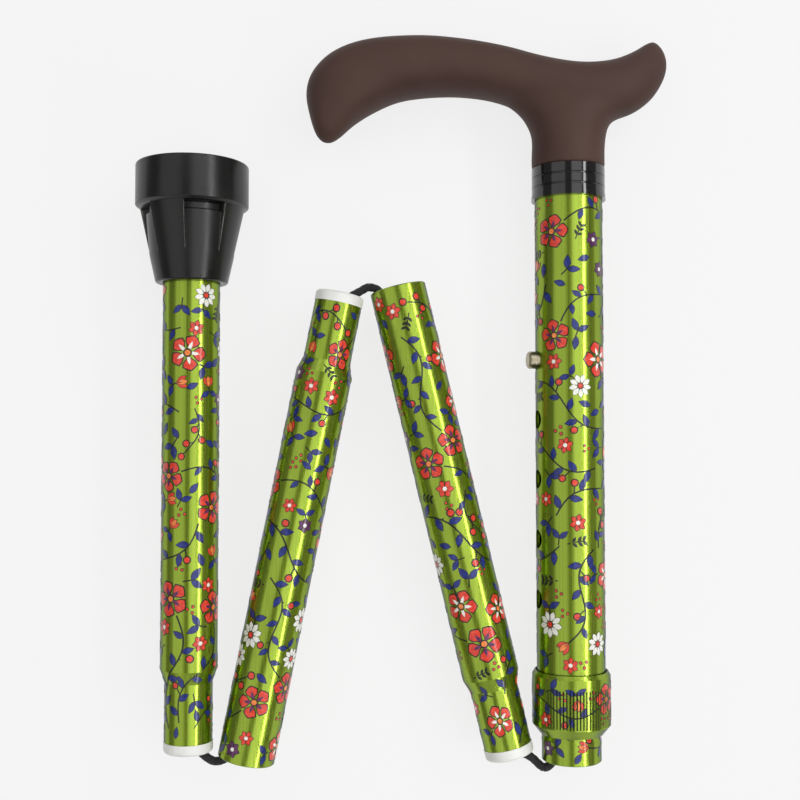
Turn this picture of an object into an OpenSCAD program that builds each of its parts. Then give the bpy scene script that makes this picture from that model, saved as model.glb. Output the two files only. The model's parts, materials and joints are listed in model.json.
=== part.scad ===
// Folding walking cane in four sections, lying half folded in a W on a table.
// A soft-touch derby handle carries a telescoping upper section with a snap button and a lock ring.
// Three more sections follow, joined by one elastic cord that runs through all of them.
// Each section plugs its necked end into the open socket of the one before it.

/* [Tubes] */
// Outside diameter of the adjusting tube and of the three folding sections
tube_od = 20; // [19:0.5:22]
// Wall of those tubes
tube_wall = 1.2; // [1:0.1:1.4]
// Wall of the upper tube under the handle
upper_wall = 1.2; // [1:0.1:1.6]
// Room between the adjusting tube and the upper tube, filled by the collet
telescope_room = 0.8; // [0.7:0.1:1.2]
// Length of the upper tube that shows between collar and lock ring
upper_show_l = 166; // [150:1:200]
// Length of the second section, from bush end to socket mouth
second_l = 169; // [150:1:200]
// Length of the third section, from bush end to socket mouth
third_l = 167; // [150:1:200]
// Length of the tip section, from bush end to the sole of the ferrule
tip_l = 207; // [190:1:240]

/* [Plug joints] */
// Length of a necked plug, bush included
neck_l = 24.5; // [20:0.5:30]
// Room between a neck and its socket, on the radius
neck_clear = 0.4; // [0.3:0.05:0.6]
// Length of the swaged shoulder behind the neck
shoulder_l = 4.5; // [3:0.5:6]
// Length of the plastic bush head that shows on the neck
bush_head_l = 3.8; // [3:0.2:7]
// Room between a bush and its socket, on the radius
bush_clear = 0.2; // [0.1:0.05:0.3]
// Flare of the adjusting tube's mouth, on the radius
mouth_flare = 0.4; // [0.2:0.1:0.5]

/* [Fold] */
// Angle between the upper section and the second one
first_angle = 13.5; // [12:0.5:18]
// Angle between the third section and the tip section
third_angle = 11.3; // [10:0.1:14]
// Gap between two sections folded side by side
side_gap = 0.4; // [0.3:0.1:1]

/* [Height setting] */
// Spacing of the snap button's holes
hole_pitch = 21; // [18:0.5:22]
// Number of holes
hole_count = 5; // [3:1:5]
// Height of the snap button above the mouth of the adjusting tube
button_v = 140; // [130:1:145]
// Diameter of the snap button
button_d = 6.2; // [5:0.1:7]
// How far the button stands out of the upper tube
button_out = 3.4; // [2:0.1:3.5]
// Turn of the button and its holes out of the fold plane
button_turn = 10; // [0:1:30]

/* [Lock ring] */
// Outside diameter of the lock ring
ring_od = 27.4; // [26.8:0.2:29]
// Height of the lock ring's lower edge above the mouth
ring_low = 9.4; // [8:0.2:12]
// Length of the lock ring
ring_l = 21.8; // [21:0.2:26]
// Grip grooves in each of the two ribbed panels
ring_grooves = 25; // [15:1:27]
// Angle that each ribbed panel covers
ring_panel = 116; // [80:2:124]
// Turn of the panels from the upper side
ring_panel_turn = 14; // [0:1:30]

/* [Handle] */
// Height of the collar under the handle
collar_l = 11.3; // [8:0.1:14]
// Diameter of the collar and the handle's stem
stem_d = 26; // [25.6:0.1:27]
// Length of the spigot that holds the handle in the upper tube
spigot_l = 30; // [20:1:40]

/* [Ferrule] */
// Diameter of the ferrule's base
ferrule_d = 40; // [36:0.5:44]
// Height of the base band
ferrule_band = 14.8; // [10:0.2:16]
// Whole height of the ferrule
ferrule_l = 42.3; // [38:0.1:48]
// Rubber under the tube's end
ferrule_sole = 8; // [6:0.5:10]
// Windows in the cone above the band
ferrule_windows = 4; // [3:1:6]
// Share of the cone's round that the windows take
window_share = 0.52; // [0.4:0.02:0.6]
// Turn of the first window from the upper side
window_turn = 25; // [0:1:45]
// Depth of a window at the band
window_deep = 2.2; // [1:0.1:3]
// Length of a window
window_l = 17; // [12:0.5:20]

/* [Cord] */
// Diameter of the elastic cord
cord_d = 3; // [2:0.1:3.2]

/* [Hidden] */
$fn = 72;

green = [0.52, 0.66, 0.2];
brown = [0.33, 0.26, 0.24];
black = [0.1, 0.1, 0.1];
white = [0.93, 0.93, 0.92];
steel = [0.75, 0.73, 0.66];

// Clearances: a glued or pressed seat, a sliding fit and plain room between moving pieces
seat = 0.05;
slide_fit = 0.15;
free_room = 0.3;
edge = 0.3;

// Radii
tube_r = tube_od / 2;
tube_ir = tube_r - tube_wall;
neck_r = tube_ir - neck_clear;
neck_ir = neck_r - tube_wall;
bush_r = tube_ir - bush_clear;
mouth_r = tube_r + mouth_flare;
upper_ir = tube_r + telescope_room;
upper_r = upper_ir + upper_wall;
ring_r = ring_od / 2;
stem_r = stem_d / 2;
ferrule_r = ferrule_d / 2;
cord_r = cord_d / 2;
cord_hole_r = cord_r + 0.5;

// Heights on the upper section, above the mouth of the adjusting tube
ring_top = ring_low + ring_l;
ring_cone_l = 3.3;
ring_chamfer = 1.4;
tube_cover = 5;
upper_low = ring_top - tube_cover;
stem_low = upper_low + tube_cover + upper_show_l + collar_l;
inner_over_button = 25;
inner_top = button_v + inner_over_button;
guide_l = 6;
guide_sink = 8;
anchor_l = 10;
anchor_drop = 55;
anchor_v = button_v - anchor_drop;
knot_r = 2.2 * cord_r;
hole_r = button_d / 2 + 0.2;

// Compression ring and collet inside the lock ring
ring_bore_r = upper_r + 0.4;
olive_l = 2.8;
olive_cone_l = 1.2;
olive_cone_w = 0.6;
olive_split = 2;
olive_v = ring_low + ring_cone_l;
ring_travel = 1.5;
collet_low = olive_v + olive_l + ring_travel + free_room;
collet_flange = 2;
collet_spigot = 14;
collet_slot = 1.6;
finger_relief = 0.4;

// Hairpin leaf spring behind the snap button
leaf = 0.6;
leaf_w = 7;
leaf_room = 0.1;
leaf_half = sqrt(pow(tube_ir, 2) - pow(leaf_w / 2, 2)) - leaf_room;

// Pivots of the three folds: equally far from both sections, just beyond the open mouth
mouth_lead = 0.5;
first_plug_lead = 4.5;
second_plug_lead = 2;
third_plug_lead = 1.1;
side_reach = tube_r + side_gap / 2;
ring_reach = (tube_r + free_room + ring_r * cos(first_angle) - (mouth_lead + olive_v) * sin(first_angle))
    / (1 + cos(first_angle));
mouth_reach = (tube_r + free_room + mouth_r * cos(first_angle) - mouth_lead * sin(first_angle))
    / (1 + cos(first_angle));
first_reach = max(ring_reach, mouth_reach);

// Direction of a section turned by an angle from straight up, and its left side
function ahead(a) = [-sin(a), cos(a)];
function left(a) = [-cos(a), -sin(a)];

second_turn = first_angle;
third_turn = 180 - third_angle;
tip_turn = 0;
mouth_pt = [0, 0];
fold_1 = mouth_pt + [-first_reach, -mouth_lead];
second_pt = fold_1 + first_reach * left(second_turn) + first_plug_lead * ahead(second_turn);
second_mouth = second_pt + second_l * ahead(second_turn);
fold_2 = second_mouth + mouth_lead * ahead(second_turn) + side_reach * left(second_turn);
third_pt = fold_2 - side_reach * left(third_turn) + second_plug_lead * ahead(third_turn);
third_mouth = third_pt + third_l * ahead(third_turn);
fold_3 = third_mouth + mouth_lead * ahead(third_turn) - side_reach * left(third_turn);
tip_pt = fold_3 + side_reach * left(tip_turn) + third_plug_lead * ahead(tip_turn);

// Handle: stations along the grip as [upper point, lower point, half depth], from nose to tail,
// measured from the axis of the upper tube and the lower end of the stem
grip = [[-88, 9.5, -84.6, 9.3, 1.6], [-90.6, 12.8, -81, 12.4, 5.6], [-92.8, 20, -76.6, 16.6, 8.8],
    [-94, 28, -71, 20.4, 11.2], [-91.4, 35.6, -66, 23, 12.6], [-84, 42.4, -61.5, 24.9, 13],
    [-72, 46.5, -56, 26.2, 13.2], [-54, 47.8, -47, 27.1, 13.1], [-38, 46.6, -38, 27.1, 12.8],
    [-23, 44, -27, 25.6, 12.6], [-9, 40.3, -14, 21.5, 12.8], [4, 38.3, 4, 17.8, 12.8],
    [15, 39.2, 20, 19.4, 11.8], [23, 42.3, 29, 24.4, 9.6], [28, 45.6, 34, 31.2, 6.6],
    [30.4, 46.8, 35.8, 37.2, 4.2], [31.6, 46.6, 34.9, 42.6, 1.6]];
// Stations up the stem as [height, left reach, right reach, half depth]
stem = [[0, stem_r, stem_r, stem_r], [6, stem_r, stem_r, stem_r], [12, stem_r, stem_r + 0.6, stem_r],
    [16.6, stem_r + 1.8, stem_r + 2.2, 12.9], [20.2, 17.4, 20.4, 12.5], [23.4, 21.4, 26, 11.6],
    [26.4, 25, 27, 9.6]];
grip_steps = 3;
stem_steps = 3;
loft_sides = 28;
roundness = 2.25;

// The whole lies on the lock ring, the handle and the ferrule's rim, so the fold plane tilts a little
axis_z = ring_r;
lie_tilt = asin((ferrule_r - ring_r) / -tip_pt.x);
grip_right = max([for (s = grip) max(s[0], s[2])]);
grip_top = max([for (s = grip) s[1]]);
origin_x = (grip_right + tip_pt.x * cos(lie_tilt) - ferrule_r) / 2;
cord_low = -4.2;
origin_y = (stem_low + grip_top + cord_low) / 2;

// Cord over a fold: along the open tube from its mouth, then into the next section's bush
cord_from = 20;
cord_into = 10;
cord_straight = 5;
over_mouth = [[-cord_from, 0], [cord_straight - cord_from, 0], [-6.5, 3.6], [0.5, 6.5], [2.8, 9.8]];
into_bush = [[-2.4, 7], [1.4, 2.8], [6, 0], [cord_into, 0]];
cord_steps = 4;
cord_sides = 8;
// Hairline between two stretches of the cord that ride on different sections
cord_gap = 0.2;

// Point at t between b and c on the smooth curve through a, b, c and d
function curve(a, b, c, d, t) = 0.5 * (2 * b + (c - a) * t + (2 * a - 5 * b + 4 * c - d) * t * t
    + (3 * b - a - 3 * c + d) * t * t * t);
// Smooth curve through all points, with so many steps between two of them
function smooth(p, steps) = let (n = len(p) - 1) concat(
    [for (i = [0 : n - 1]) for (k = [0 : steps - 1])
        curve(p[max(i - 1, 0)], p[i], p[i + 1], p[min(i + 2, n)], k / steps)], [p[n]]);
// Closed skin over rings of equally many points
function skin_faces(rings, sides) = concat(
    [[for (i = [sides - 1 : -1 : 0]) i]],
    [for (r = [0 : rings - 2]) for (i = [0 : sides - 1]) let (a = r * sides + i,
        b = r * sides + (i + 1) % sides) each [[a, b, b + sides], [a, b + sides, a + sides]]],
    [[for (i = [0 : sides - 1]) (rings - 1) * sides + i]]);
function flatten(list) = [for (part = list) each part];
function power_sign(x, e) = sign(x) * pow(abs(x), e);

// Loft through rings of points, all turning the same way
module skin(rings) {
    polyhedron(flatten(rings), skin_faces(len(rings), len(rings[0])), convexity = 6);
}

// Tube swept along a smooth route in the fold plane, between two of its points
module swept_cord(route, first, last) {
    n = len(route) - 1;
    skin([for (i = [first : last]) let (way = route[min(i + 1, n)] - route[max(i - 1, 0)],
        side = [way.y, -way.x] / norm(way)) [for (k = [0 : cord_sides - 1]) let (a = 360 * k / cord_sides)
            [route[i].x + cord_r * cos(a) * side.x, route[i].y + cord_r * cos(a) * side.y, cord_r * sin(a)]]]);
}

// Everything below is drawn in the fold plane and laid on the table here
module laid() {
    translate([-origin_x, -origin_y, axis_z])
        rotate([0, lie_tilt, 0])
            children();
}

// Turns the local Z axis along a section that starts at a point of the fold plane
module along(point, turn) {
    laid()
        translate([point.x, point.y, 0])
            rotate([0, 0, turn])
                rotate([-90, 0, 0])
                    children();
}

module upper_section() along(mouth_pt, 0) children();
module second_section() along(second_pt, second_turn) children();
module third_section() along(third_pt, third_turn) children();
module tip_section() along(tip_pt, tip_turn) children();

// Round tube between two heights
module pipe(low, high, inner, outer) {
    rotate_extrude()
        translate([inner, low])
            square([outer - inner, high - low]);
}

// Smooth derby grip lofted from nose to tail
module grip_loft() {
    skin([for (s = smooth(grip, grip_steps)) let (upper = [s[0], s[1]], lower = [s[2], s[3]],
        middle = (upper + lower) / 2, half = (upper - lower) / 2) [for (k = [0 : loft_sides - 1])
            let (a = 360 * k / loft_sides, h = half * power_sign(sin(a), 2 / roundness),
                d = s[4] * power_sign(cos(a), 2 / roundness)) [middle.x + h.x, middle.y + h.y, d]]]);
}

// Stem that flares out of the collar into the grip
module stem_loft() {
    path = smooth(stem, stem_steps);
    skin([for (s = path) [for (k = [0 : loft_sides - 1]) let (a = 360 * k / loft_sides)
        [(cos(a) < 0 ? s[1] : s[2]) * cos(a), s[0], s[3] * sin(a)]]]);
}

module handle() {
    color(brown)
        laid()
            translate([0, stem_low, 0]) {
                grip_loft();
                stem_loft();
                rotate([90, 0, 0])
                    cylinder(r = upper_ir - seat, h = spigot_l);
            }
}

// Glossy collar with two turned grooves and a slightly wider lower lip
module handle_collar() {
    lip = 0.15;
    lip_l = 1.6;
    groove = 0.35;
    color(black)
        upper_section()
            rotate_extrude()
                difference() {
                    translate([upper_r + seat, stem_low - collar_l]) {
                        square([stem_r - upper_r - seat, collar_l]);
                        square([stem_r + lip - upper_r - seat, lip_l]);
                    }
                    for (share = [0.36, 0.68])
                        translate([stem_r, stem_low - collar_l * (1 - share)])
                            circle(r = groove, $fn = 24);
                }
}

module upper_tube() {
    color(green)
        upper_section()
            difference() {
                pipe(upper_low, stem_low, upper_ir, upper_r);
                for (i = [0 : hole_count - 1])
                    translate([0, 0, button_v - i * hole_pitch])
                        rotate([0, -90, button_turn])
                            cylinder(r = hole_r, h = upper_r + 1);
            }
}

// Split collet: spigot in the upper tube, flange under its end and slit fingers below
module collet() {
    inner = tube_r + slide_fit;
    color(black)
        upper_section()
            difference() {
                union() {
                    pipe(upper_low - collet_flange, upper_low + collet_spigot, inner, upper_ir - seat);
                    pipe(upper_low - collet_flange, upper_low, inner, upper_r);
                    pipe(collet_low, upper_low - collet_flange, inner, upper_r - finger_relief);
                }
                for (a = [0, 90])
                    rotate([0, 0, a])
                        translate([-upper_r - 1, -collet_slot / 2, collet_low - 1])
                            cube([2 * upper_r + 2, collet_slot, upper_low - collet_flange - collet_low]);
            }
}

// Split plastic olive that the lock ring pushes against the adjusting tube
module compression_ring() {
    inner = tube_r + slide_fit;
    outer = ring_bore_r - free_room;
    color(white)
        upper_section()
            difference() {
                rotate_extrude()
                    polygon([[inner, olive_v], [inner + olive_cone_w, olive_v], [outer, olive_v + olive_cone_l],
                        [outer, olive_v + olive_l], [inner, olive_v + olive_l]]);
                translate([0, -olive_split / 2, olive_v - 1])
                    cube([upper_r + 1, olive_split, olive_l + 2]);
            }
}

// Lock ring: coned lower end, grip panels with fine grooves, smooth band and chamfered upper rim
module lock_ring() {
    bore_low = tube_r + slide_fit + 0.2;
    rim = 0.7;
    chamfer_w = 0.84;
    groove_r = 0.24;
    groove_low = ring_low + ring_cone_l + 0.4;
    smooth_band = 5;
    color(green)
        upper_section()
            difference() {
                rotate_extrude()
                    polygon([[bore_low, ring_low], [bore_low + rim, ring_low], [ring_r, ring_low + ring_cone_l],
                        [ring_r, ring_top - ring_chamfer], [ring_r - chamfer_w, ring_top],
                        [ring_bore_r, ring_top], [ring_bore_r, olive_v + olive_cone_l - slide_fit],
                        [bore_low + olive_cone_w, olive_v - slide_fit], [bore_low, olive_v - slide_fit]]);
                for (side = [90, 270])
                    for (i = [0 : ring_grooves - 1])
                        rotate([0, 0, side + ring_panel_turn + ring_panel * (i / (ring_grooves - 1) - 0.5)])
                            translate([ring_r, 0, groove_low])
                                cylinder(r = groove_r, h = ring_top - smooth_band - groove_low, $fn = 16);
            }
}

// Adjusting tube with a slightly flared socket mouth and the snap button's hole
module inner_tube() {
    rim_l = ring_low - 2;
    flare_l = ring_low - 0.5;
    color(green)
        upper_section()
            difference() {
                rotate_extrude()
                    polygon([[tube_ir + edge, 0], [mouth_r - edge, 0], [mouth_r, edge], [mouth_r, rim_l],
                        [tube_r, flare_l], [tube_r, inner_top], [tube_ir, inner_top], [tube_ir, edge]]);
                translate([0, 0, button_v])
                    rotate([0, -90, button_turn])
                        cylinder(r = hole_r - slide_fit / 2, h = tube_r + 1);
            }
}

// Plastic guide glued into the upper end of the adjusting tube
module guide_bush() {
    color(white)
        upper_section() {
            pipe(inner_top, inner_top + guide_l, tube_ir - tube_wall, upper_ir - slide_fit);
            pipe(inner_top - guide_sink, inner_top, tube_ir - tube_wall, tube_ir - seat);
        }
}

// Hairpin leaf spring inside the adjusting tube, one leg behind the button
module button_spring() {
    leg = 26;
    leg_over_button = 6;
    color(steel)
        upper_section()
            rotate([0, 0, button_turn])
                translate([0, leaf_w / 2, button_v + leg_over_button - leg])
                    rotate([90, 0, 0])
                        linear_extrude(leaf_w) {
                            difference() {
                                circle(r = leaf_half);
                                circle(r = leaf_half - leaf);
                                translate([-leaf_half - 1, 0])
                                    square([2 * leaf_half + 2, leaf_half + 1]);
                            }
                            for (x = [-leaf_half, leaf_half - leaf])
                                translate([x, 0])
                                    square([leaf, leg]);
                        }
}

// Round-topped button, standing on the spring's leg
module snap_button() {
    tip = upper_r + button_out;
    dome = 1;
    r = button_d / 2;
    color(steel)
        upper_section()
            translate([0, 0, button_v])
                rotate([0, -90, button_turn])
                    rotate_extrude() {
                        translate([0, leaf_half])
                            square([r, tip - leaf_half - dome]);
                        translate([0, leaf_half])
                            square([r - dome, tip - leaf_half]);
                        intersection() {
                            translate([r - dome, tip - dome])
                                circle(r = dome, $fn = 32);
                            translate([0, leaf_half])
                                square([r, tip - leaf_half]);
                        }
                    }
}

// Drilled plug that holds the cord's end in a tube
module cord_plug(low) {
    pipe(low, low + anchor_l, cord_hole_r, tube_ir - seat);
}

// Straight stretch of cord along a tube
module cord_run(low, high) {
    translate([0, 0, low])
        cylinder(r = cord_r, h = high - low);
}

// Overhand knot drawn up against its plug
module cord_knot(low) {
    translate([0, 0, low])
        rotate_extrude()
            intersection() {
                translate([0, knot_r * 0.8])
                    circle(r = knot_r, $fn = 32);
                square([knot_r, knot_r * 2]);
            }
}

module cord_anchor_top() {
    color(white)
        upper_section()
            cord_plug(anchor_v);
}

module top_knot() {
    color(black)
        upper_section()
            cord_knot(anchor_v + anchor_l);
}

module elastic_top() {
    color(black)
        upper_section()
            cord_run(cord_from + cord_gap, anchor_v + anchor_l);
}

// Route over a fold, from inside the open mouth to inside the next section's bush
function fold_route(mouth, mouth_out, toward, plug, plug_in, back) = smooth(concat(
    [for (p = over_mouth) mouth + p.x * mouth_out + p.y * toward],
    [for (p = into_bush) plug + p.x * plug_in + p.y * back]), cord_steps);

route_1 = fold_route(mouth_pt, [0, -1], [-1, 0], second_pt, ahead(second_turn), -left(second_turn));
route_2 = fold_route(second_mouth, ahead(second_turn), left(second_turn), third_pt, ahead(third_turn),
    left(third_turn));
route_3 = fold_route(third_mouth, ahead(third_turn), -left(third_turn), tip_pt, ahead(tip_turn),
    -left(tip_turn));
route_top = (len(over_mouth) - 1) * cord_steps;

module elastic_fold_1() {
    color(black)
        laid()
            swept_cord(route_1, 0, len(route_1) - 1);
}

module elastic_fold_2a() {
    color(black)
        laid()
            swept_cord(route_2, 0, route_top);
}

module elastic_fold_2b() {
    color(black)
        laid()
            swept_cord(route_2, route_top, len(route_2) - 1);
}

module elastic_fold_3() {
    color(black)
        laid()
            swept_cord(route_3, 0, len(route_3) - 1);
}

// Metal tube of a folding section: neck, swaged shoulder and plain body
module necked_tube(high) {
    swage = neck_l + shoulder_l;
    rotate_extrude()
        polygon([[neck_ir, bush_head_l], [neck_r, bush_head_l], [neck_r, neck_l], [tube_r, swage],
            [tube_r, high - edge], [tube_r - edge, high], [tube_ir + edge, high], [tube_ir, high - edge],
            [tube_ir, swage], [neck_ir, neck_l]]);
}

// Plastic end bush with a rounded nose and a funnel for the cord
module end_bush() {
    spigot = 12;
    funnel_l = 5.5;
    rim = 1.4;
    nose = 1.2;
    rotate_extrude() {
        polygon([[bush_r - rim, 0], [bush_r - nose, 0], [bush_r - nose, nose], [bush_r, nose],
            [bush_r, bush_head_l], [neck_ir - seat, bush_head_l], [neck_ir - seat, bush_head_l + spigot],
            [cord_hole_r, bush_head_l + spigot], [cord_hole_r, funnel_l]]);
        intersection() {
            translate([bush_r - nose, nose])
                circle(r = nose, $fn = 32);
            translate([bush_r - nose, 0])
                square(nose);
        }
    }
}

module second_tube() {
    color(green)
        second_section()
            necked_tube(second_l);
}

module second_bush() {
    color(white)
        second_section()
            end_bush();
}

module elastic_second() {
    color(black)
        second_section()
            cord_run(cord_into + cord_gap, second_l - cord_from - cord_gap);
}

module third_tube() {
    color(green)
        third_section()
            necked_tube(third_l);
}

module third_bush() {
    color(white)
        third_section()
            end_bush();
}

module elastic_third() {
    color(black)
        third_section()
            cord_run(cord_into + cord_gap, third_l - cord_from - cord_gap);
}

washer_l = 1.5;
tip_end = tip_l - ferrule_sole - washer_l;
anchor_rise = 50;
anchor_low_v = tip_end - anchor_rise;

module tip_tube() {
    color(green)
        tip_section()
            necked_tube(tip_end);
}

module tip_bush() {
    color(white)
        tip_section()
            end_bush();
}

module cord_anchor_bottom() {
    color(white)
        tip_section()
            cord_plug(anchor_low_v);
}

module elastic_tip() {
    color(black)
        tip_section()
            cord_run(cord_into + cord_gap, anchor_low_v + anchor_l);
}

module bottom_knot() {
    color(black)
        tip_section()
            cord_knot(anchor_low_v + anchor_l);
}

module ferrule_washer() {
    color(steel)
        tip_section()
            translate([0, 0, tip_end])
                cylinder(r = tube_r - seat, h = washer_l);
}

// Flared rubber tip: plain band, cone with fading windows that are undercut at the band, ringed sole
module rubber_ferrule() {
    bore_r = tube_r + seat;
    neck_top_r = tube_r + 2.9;
    sole_edge = 0.7;
    lip = 1;
    cone_low = ferrule_band + 0.8;
    cone_r = ferrule_r - 1.4;
    undercut = 1.2;
    undercut_l = 2.6;
    tread_w = 1.6;
    tread_deep = 1;
    fade_r = cone_r - (cone_r - neck_top_r) * window_l / (ferrule_l - lip - cone_low);
    floor_r = cone_r - window_deep;
    ledge_r = floor_r + (fade_r - floor_r) * undercut_l / window_l;
    pitch = 360 / ferrule_windows;
    color(black)
        tip_section()
            translate([0, 0, tip_l])
                mirror([0, 0, 1])
                    difference() {
                        rotate_extrude()
                            polygon([[0, 0], [ferrule_r - sole_edge, 0], [ferrule_r, sole_edge],
                                [ferrule_r, ferrule_band], [cone_r, cone_low], [neck_top_r, ferrule_l - lip],
                                [neck_top_r - lip, ferrule_l], [bore_r, ferrule_l], [bore_r, ferrule_sole],
                                [0, ferrule_sole]]);
                        for (i = [0 : ferrule_windows - 1])
                            rotate([0, 0, window_turn - 90 + pitch * (i - window_share / 2)])
                                rotate_extrude(angle = pitch * window_share)
                                    polygon([[floor_r - undercut, cone_low], [cone_r + 1, cone_low],
                                        [fade_r + 1, cone_low + window_l], [fade_r, cone_low + window_l],
                                        [ledge_r, cone_low + undercut_l],
                                        [ledge_r - undercut, cone_low + undercut_l]]);
                        for (share = [0.28, 0.52, 0.76])
                            pipe(-tread_deep, tread_deep, ferrule_r * share - tread_w / 2,
                                ferrule_r * share + tread_w / 2);
                    }
}

handle();
handle_collar();
upper_tube();
collet();
compression_ring();
lock_ring();
inner_tube();
guide_bush();
button_spring();
snap_button();
cord_anchor_top();
top_knot();
elastic_top();
elastic_fold_1();
second_tube();
second_bush();
elastic_second();
elastic_fold_2a();
elastic_fold_2b();
third_tube();
third_bush();
elastic_third();
elastic_fold_3();
tip_tube();
tip_bush();
elastic_tip();
cord_anchor_bottom();
bottom_knot();
rubber_ferrule();
ferrule_washer();
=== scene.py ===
"""A folding walking cane that lies folded on a pale table, seen from straight above."""
import json
import math
import random

import bmesh
import bpy
import numpy as np
from mathutils import Matrix, Vector


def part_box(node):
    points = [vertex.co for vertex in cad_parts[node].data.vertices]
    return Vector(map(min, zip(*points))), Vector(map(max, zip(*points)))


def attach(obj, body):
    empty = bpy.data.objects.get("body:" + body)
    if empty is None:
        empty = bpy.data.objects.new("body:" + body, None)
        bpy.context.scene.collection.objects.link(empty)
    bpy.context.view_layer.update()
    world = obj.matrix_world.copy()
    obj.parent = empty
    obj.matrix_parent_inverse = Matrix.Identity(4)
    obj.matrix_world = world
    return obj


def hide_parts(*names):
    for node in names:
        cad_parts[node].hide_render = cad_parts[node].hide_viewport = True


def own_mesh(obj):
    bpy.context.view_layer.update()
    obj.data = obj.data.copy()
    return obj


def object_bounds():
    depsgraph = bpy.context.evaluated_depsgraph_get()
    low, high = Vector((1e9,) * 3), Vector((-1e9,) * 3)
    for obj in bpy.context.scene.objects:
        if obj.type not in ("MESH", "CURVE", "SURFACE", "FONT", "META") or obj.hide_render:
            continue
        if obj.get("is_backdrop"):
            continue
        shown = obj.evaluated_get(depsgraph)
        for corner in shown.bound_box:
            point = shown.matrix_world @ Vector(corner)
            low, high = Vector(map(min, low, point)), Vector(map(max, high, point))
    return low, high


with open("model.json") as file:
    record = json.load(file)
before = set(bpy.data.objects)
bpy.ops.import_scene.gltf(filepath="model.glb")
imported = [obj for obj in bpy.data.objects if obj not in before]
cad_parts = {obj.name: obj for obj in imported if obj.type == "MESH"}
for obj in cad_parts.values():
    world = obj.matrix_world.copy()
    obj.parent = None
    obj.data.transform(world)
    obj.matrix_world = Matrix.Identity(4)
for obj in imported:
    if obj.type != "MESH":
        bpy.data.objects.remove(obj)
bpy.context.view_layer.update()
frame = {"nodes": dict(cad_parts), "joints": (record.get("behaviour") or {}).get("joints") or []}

MM = 0.001
NODES = frame["nodes"]
JOINTS = {joint["name"]: joint for joint in frame["joints"]}
# Straight up from the plane that the cane folds in
OUT = Vector(JOINTS["fold_1"]["axis"]).normalized()

# Sizes that the solids have too, in millimetres
TUBE_R = 10.0
UPPER_R = 12.0
NECK_R = 8.4
MOUTH_R = 10.4
RING_R = 13.7
CORD_R = 1.5
SHOULDER = (24.5, 29.0)
FLARE = (7.4, 8.9)
STEM_LOW = 208.5


class Wire:
    """A node's output that can take part in sums."""

    def __init__(self, graph, socket):
        self.graph = graph
        self.socket = socket

    def maths(self, operation, *others):
        return self.graph.maths(operation, self, *others)

    def __add__(self, other):
        return self.maths("ADD", other)

    __radd__ = __add__

    def __sub__(self, other):
        return self.maths("SUBTRACT", other)

    def __rsub__(self, other):
        return self.graph.maths("SUBTRACT", other, self)

    def __mul__(self, other):
        return self.maths("MULTIPLY", other)

    __rmul__ = __mul__

    def __truediv__(self, other):
        return self.maths("DIVIDE", other)

    def __rtruediv__(self, other):
        return self.graph.maths("DIVIDE", other, self)


def find(sockets, key):
    """The socket with that number, identifier or name."""
    if isinstance(key, int):
        return sockets[key]
    return next(s for s in sockets if key in (s.identifier, s.name))


class Graph:
    """A tree of nodes, with the one way that nodes come into it."""

    def __init__(self, tree):
        self.tree = tree

    def node(self, kind, sockets=None, out=0, **settings):
        """Makes a node and gives one of its outputs, or a list of them all if out is None."""
        made = self.tree.nodes.new(kind)
        for name, value in settings.items():
            setattr(made, name, value)
        for key, value in (sockets or {}).items():
            self.feed(find(made.inputs, key), value)
        if out is None:
            return [Wire(self, socket) for socket in made.outputs]
        return Wire(self, find(made.outputs, out)) if made.outputs else None

    def maths(self, operation, *values):
        return self.node("ShaderNodeMath", dict(enumerate(values)), operation=operation)

    def feed(self, socket, value):
        """Sets a socket, links it, or links it to each wire of a list."""
        if isinstance(value, list):
            for wire in value:
                self.feed(socket, wire)
        elif isinstance(value, Wire):
            self.tree.links.new(value.socket, socket)
        else:
            socket.default_value = value


class Finish(Graph):
    """A material; what is alike all over is set on its shader directly."""

    def __init__(self, name, **constant):
        self.material = bpy.data.materials.new(name)
        self.material.use_nodes = True
        super().__init__(self.material.node_tree)
        self.shader = next(n for n in self.tree.nodes if n.type == "BSDF_PRINCIPLED")
        for key, value in constant.items():
            self.set(key.replace("_", " "), value)

    def set(self, name, value):
        wanted = name.lower()
        self.feed(next(s for s in self.shader.inputs if s.name.lower() == wanted), value)

    def place(self, stretch=(1, 1, 1), turn=0.0):
        where = self.node("ShaderNodeTexCoord", out="Object")
        sockets = {"Vector": where, "Rotation": (0, 0, turn), "Scale": stretch}
        return self.node("ShaderNodeMapping", sockets)

    def noise(self, scale, detail=2.0, where=None):
        where = where or self.place()
        return self.node("ShaderNodeTexNoise", {"Vector": where, "Scale": scale, "Detail": detail})

    def spread(self, value, low, high, least, most):
        sockets = {"Value": value, "From Min": low, "From Max": high, "To Min": least, "To Max": most}
        return self.node("ShaderNodeMapRange", sockets)

    def mix(self, share, first, second):
        sockets = {"Factor_Float": share, "A_Color": first, "B_Color": second}
        return self.node("ShaderNodeMix", sockets, out="Result_Color", data_type="RGBA")

    def bump(self, height, strength, distance):
        sockets = {"Height": height, "Strength": strength, "Distance": distance}
        self.set("normal", self.node("ShaderNodeBump", sockets, out="Normal"))


def tone(red, green, blue):
    """A screen colour from 0 to 255 as the light that it stands for."""
    def light(c):
        c = c / 255
        return c / 12.92 if c <= 0.04045 else ((c + 0.055) / 1.055) ** 2.4
    return (light(red), light(green), light(blue), 1.0)


# Finishes

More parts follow.
